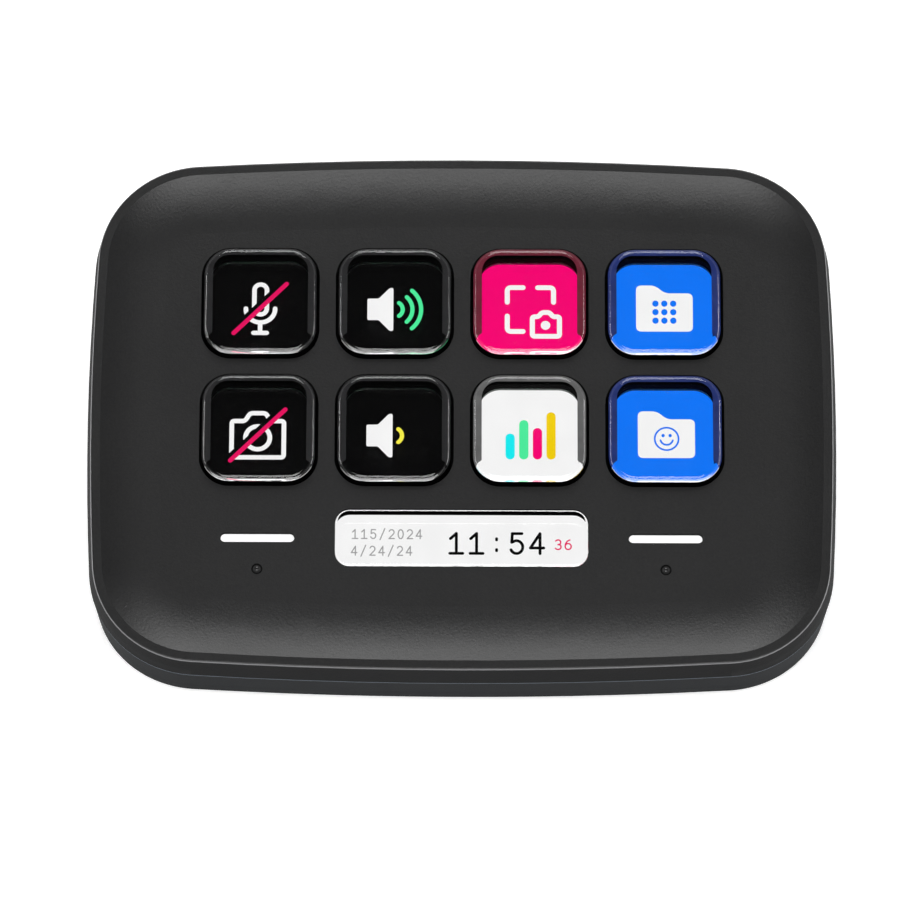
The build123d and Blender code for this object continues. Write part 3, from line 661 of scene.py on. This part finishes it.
dome_corner = 4.6 * MM
dome_reach = 1.2 * MM  # how far foot and lip reach inwards
dome_foot = 0.25 * MM
skirt_outside = (0.2 * MM, 0.5 * MM)  # insets of the skirt's outer side at foot and lip
skirt_inside = (0.4 * MM, 0.7 * MM)
lip_inset = 0.25 * MM
corner_points = 10  # points of each round corner of a ring
ring_points = 4 * corner_points
silicone = speckled("silicone", (0.09, 0.09, 0.095), (0.13, 0.13, 0.135), 0.6, 0.4 * MM)


def swept_ring(name, low, high, radius, profile, finish, body):
    """A closed profile of (inset, height) pairs carried round a rounded rectangle.

    The ring at an inset is the rectangle moved in by it, with a corner radius smaller by it,
    and the grid of rings closes on itself both ways.
    """
    half = (high - low) / 2
    middle = (high + low) / 2
    rings = np.array([
        np.column_stack((
            rounded(half[0] - inset, half[1] - inset, radius - inset, corner_points),
            np.full(ring_points, low[2] + height),
        ))
        for inset, height in profile
    ])
    rings[..., :2] += middle[:2]
    grid = np.arange(len(profile) * ring_points).reshape(len(profile), ring_points)
    below, above = grid, np.roll(grid, -1, 0)
    quads = np.stack((below, above, np.roll(above, -1, 1), np.roll(below, -1, 1)), -1)
    faces = quads.reshape(-1, 4).tolist()
    return new_piece(name, rings.reshape(-1, 3) @ face, faces, [finish], body)


for key in pictures:
    low, high = face_span(f"key_dome_{key}")
    top = high[2] - low[2]
    lip = top - dome_foot
    profile = [
        (0, 0), (dome_reach, 0), (dome_reach, dome_foot), (skirt_inside[0], dome_foot),
        (skirt_inside[1], lip), (dome_reach, lip), (dome_reach, top), (lip_inset, top),
        (lip_inset, lip), (skirt_outside[1], lip), (skirt_outside[0], dome_foot), (0, dome_foot),
    ]
    dome = swept_ring(f"dome_{key}", low, high, dome_corner, profile, silicone, "case")
    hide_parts(f"key_dome_{key}")
    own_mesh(dome)

# ----------------------------------------------------------------------------------------
# Carriers
# ----------------------------------------------------------------------------------------
# Dark ABS frames that guide the keys in their apertures. Each has a tray with a narrow ledge
# that its clear cap is glued on, and the display shows through the opening.

carrier_plastic = eroded_plastic(
    "carrier_plastic", (0.002, 0.002, 0.0021), (0.004, 0.004, 0.0041), 0.6, 0.0
)
dress(carrier_plastic, *(f"key_carrier_{key}" for key in pictures))

# ----------------------------------------------------------------------------------------
# Key caps
# ----------------------------------------------------------------------------------------
# Clear moulded blocks with a polished skin and a rounded upper edge. Black paint covers their
# sides and, as painted shade, the steep start of the rounding. A film moulded in along the
# rear and the sides glows with a dim copy of its tile's colour: painted light for the tile's
# glow seen through the cap's edges. They are glued into the carriers and work as thick
# windows over the display.

cap_edge = 0.9 * MM
cap_radius = 4.0 * MM
cap_foot = 0.12 * MM
cap_painted = 7  # bands under the paint: the foot, the side and, as painted shade, the rounding's start


def clear_plastic(name, **values):
    """Clear moulded acrylic. Its gloss wavers by a hair, as flow lines in the skin do."""
    finish, tree, shader, place = new_finish(
        name, Transmission_Weight=1.0, IOR=1.49, Base_Color=(1, 1, 1, 1), **values
    )
    flow = noise(tree, place, 4 * MM, 1.0)
    tree.links.new(ramp(tree, flow, 0.0, 0.02), shader.inputs["Roughness"])
    return finish


def moulded_block(name, low, high, radius, profile, painted, finishes, body):
    """A block that stands on the face, as a profile carried round a rounded rectangle.

    The profile is (inset, height) pairs from the foot to the top. A ring at an inset is the
    outline moved in by it, with a corner radius smaller by it. The first and last ring are
    filled. The bands between the first rings, as many as painted, take the second finish, and
    the underside takes the last.
    """
    half = (high - low) / 2
    middle = (high + low) / 2
    rings = [
        np.column_stack((
            rounded(half[0] - inset, half[1] - inset, radius - inset, corner_points),
            np.full(ring_points, height),
        ))
        for inset, height in profile
    ]
    grid = np.arange(len(rings) * ring_points).reshape(len(rings), ring_points)
    below, above = grid[:-1], grid[1:]
    quads = np.stack((below, np.roll(below, -1, 1), np.roll(above, -1, 1), above), -1)
    points = np.concatenate(rings) + [middle[0], middle[1], 0]
    faces = [*quads.reshape(-1, 4).tolist(), grid[0, ::-1].tolist(), grid[-1].tolist()]
    finish_of_face = np.zeros(len(faces), int)
    finish_of_face[: painted * ring_points] = 1
    finish_of_face[-2] = len(finishes) - 1
    piece = new_piece(name, points @ face, faces, finishes, body, finish_of_face, smooth=True)
    weighted = piece.modifiers.new("flat faces", "WEIGHTED_NORMAL")
    weighted.keep_sharp = True
    return piece


def edge(inset, height, radius, start, end, count=10):
    """A profile's rounding: points about (inset, height) from start to end degrees, inset growing inwards."""
    t = np.radians(np.linspace(start, end, count))
    return list(zip(inset - radius * np.cos(t), height + radius * np.sin(t)))


cap_acrylic = clear_plastic("cap_acrylic", Specular_IOR_Level=1.0)
# Paint without gloss. Over the steep start of a cap's rounding it is painted shade.
side_paint_and_shade = speckled(
    "side_paint_and_shade", (0.001, 0.001, 0.001), (0.002, 0.002, 0.002), 0.5, 0.2 * MM, Specular_IOR_Level=0.0
)
# Each cap holds a glowing film: painted light, a dim copy of its tile's colour.
glow_film_drop = 1.0 * MM  # from the top of a cap down to its glowing film
glow_film_side = 1.25 * MM
glow_film_rear = 0.9 * MM
glow_film_play = 0.03 * MM  # between the edge of a glowing film and the side of its cap
glow_film_corner = 2.4 * MM
glow_film_start = 1.7 * MM  # from the cap's user side: its glowing film ends here
glow_film_full = 4.0 * MM  # and is as broad as it gets from here on
glow_film_colours = {
    WHITE: ("glow_film_white", (0.13, 0.13, 0.13)),
    BLACK: ("glow_film_black", (0.014, 0.014, 0.015)),
    PINK: ("glow_film_pink", (0.15, 0.01, 0.028)),
    BLUE: ("glow_film_blue", (0.011, 0.027, 0.16)),
}


def painted_glow_finish(name, colour):
    """A film that glows with a dim copy of the tile's colour: painted light. It is dimmer in places."""
    finish, tree, shader, place = new_finish(
        name, Base_Color=(0.004, 0.004, 0.004, 1), Roughness=0.6, Emission_Strength=1.0,
        Specular_IOR_Level=0.2,
    )
    cloud = noise(tree, place, 1.5 * MM)
    dim = tuple(0.75 * share for share in colour)
    tree.links.new(ramp(tree, cloud, dim, colour, 0.3, 0.7), shader.inputs["Emission Color"])
    return finish


films = {ground: painted_glow_finish(name, colour) for ground, (name, colour) in glow_film_colours.items()}
for key, (ground, shapes) in pictures.items():
    low, high = face_span(f"key_cap_{key}")
    middle = (low + high) / 2
    half = (high - low) / 2 - glow_film_play
    outer = rounded(half[0], half[1], cap_radius, 24)
    inner = rounded(half[0] - glow_film_side, half[1] - glow_film_rear, glow_film_corner, 24)
    # Towards the user's side the ring thins out to a hair.
    closing = np.interp(outer[:, 1], (glow_film_start - half[1], glow_film_full - half[1]), (0.99, 0))
    inner += (outer - inner) * closing[:, None]
    # The glowing film is painted light.
    film = Sheet(middle[0], middle[1], high[2] - glow_film_drop)
    film.ring((outer, inner), 0, 0)
    film.build(f"glow_film_{key}", [films[ground]], f"key_{key}")

    profile = [
        *edge(cap_foot, low[2] + cap_foot, cap_foot, -90, 0, 4),
        *edge(cap_edge, high[2] - cap_edge, cap_edge, 0, 90, 14),
    ]
    cap = moulded_block(
        f"cap_{key}", low, high, cap_radius, profile, cap_painted, [cap_acrylic, side_paint_and_shade, cap_acrylic],
        f"key_{key}",
    )
    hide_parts(f"key_cap_{key}")

# ----------------------------------------------------------------------------------------
# Window, light bars and touch pads
# ----------------------------------------------------------------------------------------
# A clear block stands over the line of figures, and two milky light guides stand over the
# lamps of the key board. Foam pads link the board to the two touch rings of the face.

window_acrylic = clear_plastic("window_acrylic")
window_flange = 1.2 * MM
window_flange_thickness = 0.8 * MM
window_edge = 0.35 * MM
window_corner = 2.1 * MM
low, high = face_span("info_window")
flange_top = low[2] + window_flange_thickness
profile = [
    (0, low[2]), (0, flange_top), (window_flange, flange_top),
    *edge(window_flange + window_edge, high[2] - window_edge, window_edge, 0, 90, 10),
]
window = moulded_block(
    "window", low, high, window_corner + window_flange, profile, 3,
    [window_acrylic, side_paint_and_shade, window_acrylic], "case",
)
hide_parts("info_window")
guide, tree, shader, place = new_finish(
    "milky_guide", Base_Color=(0.5, 0.5, 0.5, 1), Roughness=0.3, Emission_Strength=0.72
)
tree.links.new(
    ramp(tree, noise(tree, place, 2 * MM), (0.9, 0.9, 0.9), (1.0, 1.0, 1.0), 0.3, 0.7),
    shader.inputs["Emission Color"],
)
guide_flange = 0.6 * MM
guide_flange_thickness = 0.8 * MM
guide_tail = 0.9 * MM
guide_sink = 0.75 * MM  # how far the guides lie below the face
guide_edge = 0.15 * MM
corner_play = 0.01 * MM  # parts the corner arcs of a fully round outline
for side in ("left", "right"):
    low, high = face_span(f"{side}_light_bar")
    flange_foot = low[2] + guide_tail
    flange_top = flange_foot + guide_flange_thickness
    profile = [
        (guide_flange, low[2]), (guide_flange, flange_foot), (0, flange_foot), (0, flange_top),
        (guide_flange, flange_top),
        *edge(guide_flange + guide_edge, high[2] - guide_sink, guide_edge, 0, 90, 6),
    ]
    bar = moulded_block(
        f"light_guide_{side}", low, high, (high[1] - low[1]) / 2 - corner_play, profile, 0, [guide],
        "case",
    )
    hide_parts(f"{side}_light_bar")
dress(speckled("carbon_foam", (0.015, 0.015, 0.016), (0.05, 0.05, 0.052), 0.9, 0.12 * MM),
      "left_touch_pad", "right_touch_pad")

# ----------------------------------------------------------------------------------------
# Front shell
# ----------------------------------------------------------------------------------------
# The dished face of the keypad, moulded in the same charcoal ABS with a finer skin. Eight
# square apertures take the keys, and a window, two slots and two touch rings lie below.

# Its upright walls take a far darker colour, which is painted shade, and the edges between them and the face
# carry a painted highlight.
face_plastic = eroded_plastic(
    "face_plastic", (0.006, 0.006, 0.0062), (0.0105, 0.0105, 0.0108), 0.37, 0.4,
    walls=(1.0, (0.001, 0.0012, 0.0015)),
)
dress(face_plastic, "front_shell")

# Each touch ring's groove holds a matt black ring, painted shade for its dark floor, round a small polished
# pip.
ring_radius = 0.79 * MM
ring_width = 0.22 * MM
ring_floor = 0.15 * MM
groove_shade_thickness = 0.03 * MM
pip_radius = 0.3 * MM
pip_height = 0.09 * MM
bar_stand = 0.05 * MM  # how far the light bars stand out of the face
groove_shade = speckled(
    "groove_shade", (0.001, 0.001, 0.001), (0.002, 0.002, 0.002), 0.7, 0.1 * MM, Specular_IOR_Level=0.1
)
pip_plastic = speckled("pip_plastic", (0.01, 0.01, 0.01), (0.014, 0.014, 0.014), 0.2, 0.2 * MM)
dish = face_span("left_light_bar")[1][2] - bar_stand
for side in ("left", "right"):
    low, high = face_span(f"{side}_touch_pad")
    middle = (low + high) / 2
    middle[2] = dish - ring_floor
    reach = np.array([ring_radius, ring_radius, 0])
    profile = [(0, 0), (ring_width, 0), (ring_width, groove_shade_thickness), (0, groove_shade_thickness)]
    # The black ring in the groove is painted shade.
    swept_ring(
        f"touch_groove_shade_{side}", middle - reach, middle + reach, ring_radius - corner_play, profile, groove_shade,
        "case",
    )
    rise = np.radians(np.linspace(0, 80, 7))
    profile = list(zip(pip_radius * (1 - np.cos(rise)), dish + pip_height * np.sin(rise)))
    reach = np.array([pip_radius, pip_radius, 0])
    moulded_block(
        f"touch_pip_{side}", middle - reach, middle + reach, pip_radius - corner_play / 2, profile, 0,
        [pip_plastic], "case",
    )

# ----------------------------------------------------------------------------------------
# Screws, inserts and feet
# ----------------------------------------------------------------------------------------
# Four screws close the case from below into brass inserts in the front shell's posts. Two
# strips of soft black rubber are glued into grooves in the base.

dress(screw_steel, "case_screws")
dress(rolled_metal("insert_brass", (0.75, 0.52, 0.2), 0.3, 0.1 * MM, 1.0), "case_inserts")
foot_rubber = eroded_plastic(
    "foot_rubber", (0.012, 0.012, 0.012), (0.022, 0.022, 0.022), 0.75, 0.3, 0.25 * MM, 0.02 * MM
)
dress(foot_rubber, "front_foot", "rear_foot")

# ----------------------------------------------------------------------------------------
# Studio: floor, lamps and camera
# ----------------------------------------------------------------------------------------
# A pale floor under a pale horizon. One soft box hangs over the user's side and one behind
# the keypad, so that the two long slopes of the dish catch them and the flat face doesn't.
# A low strip at the left and one at the right draw a thin line along the sides of the caps.

floor_reach = 4.0
paper_glow = 0.4
floor_mesh = bpy.data.meshes.new("floor")
corner = np.array([[-1, -1, 0], [1, -1, 0], [1, 1, 0], [-1, 1, 0]])
floor_mesh.from_pydata(corner * floor_reach, [], [(0, 1, 2, 3)])
floor = bpy.data.objects.new("floor", floor_mesh)
bpy.context.scene.collection.objects.link(floor)
floor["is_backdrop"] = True

paper, tree, shader, place = new_finish(
    "paper", Roughness=0.9, Specular_IOR_Level=0.1, Emission_Color=(1, 1, 1, 1)
)
tree.links.new(
    ramp(tree, noise(tree, place, 0.002), (0.86, 0.86, 0.86), (0.9, 0.9, 0.9)),
    shader.inputs["Base Color"],
)
# The paper looks lit from within to the camera and in gloss and glass, and keeps its shadows.
path = add_node(tree, "ShaderNodeLightPath").outputs
seen = {0: path["Is Camera Ray"], 1: path["Is Glossy Ray"]}
seen = add_node(tree, "ShaderNodeMath", seen, operation="MAXIMUM")
seen = {0: seen.outputs[0], 1: path["Is Transmission Ray"]}
seen = add_node(tree, "ShaderNodeMath", seen, operation="MAXIMUM")
tree.links.new(ramp(tree, seen.outputs[0], 0.0, paper_glow), shader.inputs["Emission Strength"])
floor_mesh.materials.append(paper)

world = bpy.data.worlds.new("studio")
world.use_nodes = True
bpy.context.scene.world = world
tree = world.node_tree
direction = add_node(tree, "ShaderNodeTexCoord").outputs["Generated"]
height = add_node(tree, "ShaderNodeSeparateXYZ", {"Vector": direction}).outputs["Z"]
sky = ramp(tree, height, (0.95, 0.95, 0.96), (0.015, 0.015, 0.015), 0.05, 0.75)
tree.links.new(sky, tree.nodes["Background"].inputs["Color"])

keypad_middle = (Vector(cad_low) + Vector(cad_high)) / 2


def aim(thing, place, target):
    """Puts a lamp or camera at a place and turns its -Z axis to a target, with its Y axis upwards."""
    thing.location = place
    thing.rotation_euler = (Vector(target) - Vector(place)).to_track_quat("-Z", "Y").to_euler()


def soft_box(name, azimuth, elevation, distance, width, height, radiance):
    """A rectangular lamp that faces the keypad. Its power is radiance times pi times its area."""
    data = bpy.data.lights.new(name, "AREA")
    data.shape = "RECTANGLE"
    data.size = width
    data.size_y = height
    data.energy = radiance * pi * width * height
    lamp = bpy.data.objects.new(name, data)
    bpy.context.scene.collection.objects.link(lamp)
    flat = cos(radians(elevation))
    away = Vector((sin(radians(azimuth)) * flat, -cos(radians(azimuth)) * flat, sin(radians(elevation))))
    aim(lamp, keypad_middle + distance * away, keypad_middle)


soft_box("user_side_box", 0, 60, 1.5, 1.0, 0.86, 6.2)
soft_box("rear_box", 180, 44, 1.2, 0.6, 0.83, 5.2)
soft_box("left_strip", 264, 13, 1.0, 0.5, 0.28, 6.0)
soft_box("right_strip", 96, 13, 1.0, 0.5, 0.28, 6.0)

# The camera looks down on the face from the user's side, from far enough to flatten it.
view_elevation = 60
view_distance = 0.9767
view_lens = 274.3
view_sensor = 36
low, high = face_span("front_shell")
face_centre = Vector(np.array([(low[0] + high[0]) / 2, (low[1] + high[1]) / 2, high[2]]) @ face)
flat = cos(radians(view_elevation))
toward = Vector((0, -flat, sin(radians(view_elevation))))
camera_up = Vector((0, sin(radians(view_elevation)), flat))
# The keypad stands a little right of the frame's middle and above it.
aim_left = 1.674 * MM
aim_below = 5.51 * MM
camera_data = bpy.data.cameras.new("camera")
camera_data.lens = view_lens
camera_data.sensor_width = view_sensor
camera_data.clip_start = 0.01
camera = bpy.data.objects.new("camera", camera_data)
bpy.context.scene.collection.objects.link(camera)
aim(
    camera,
    face_centre + view_distance * toward,
    face_centre - Vector((aim_left, 0, 0)) - aim_below * camera_up,
)
bpy.context.scene.camera = camera
bpy.context.scene.view_settings.view_transform = "Standard"

low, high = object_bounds()
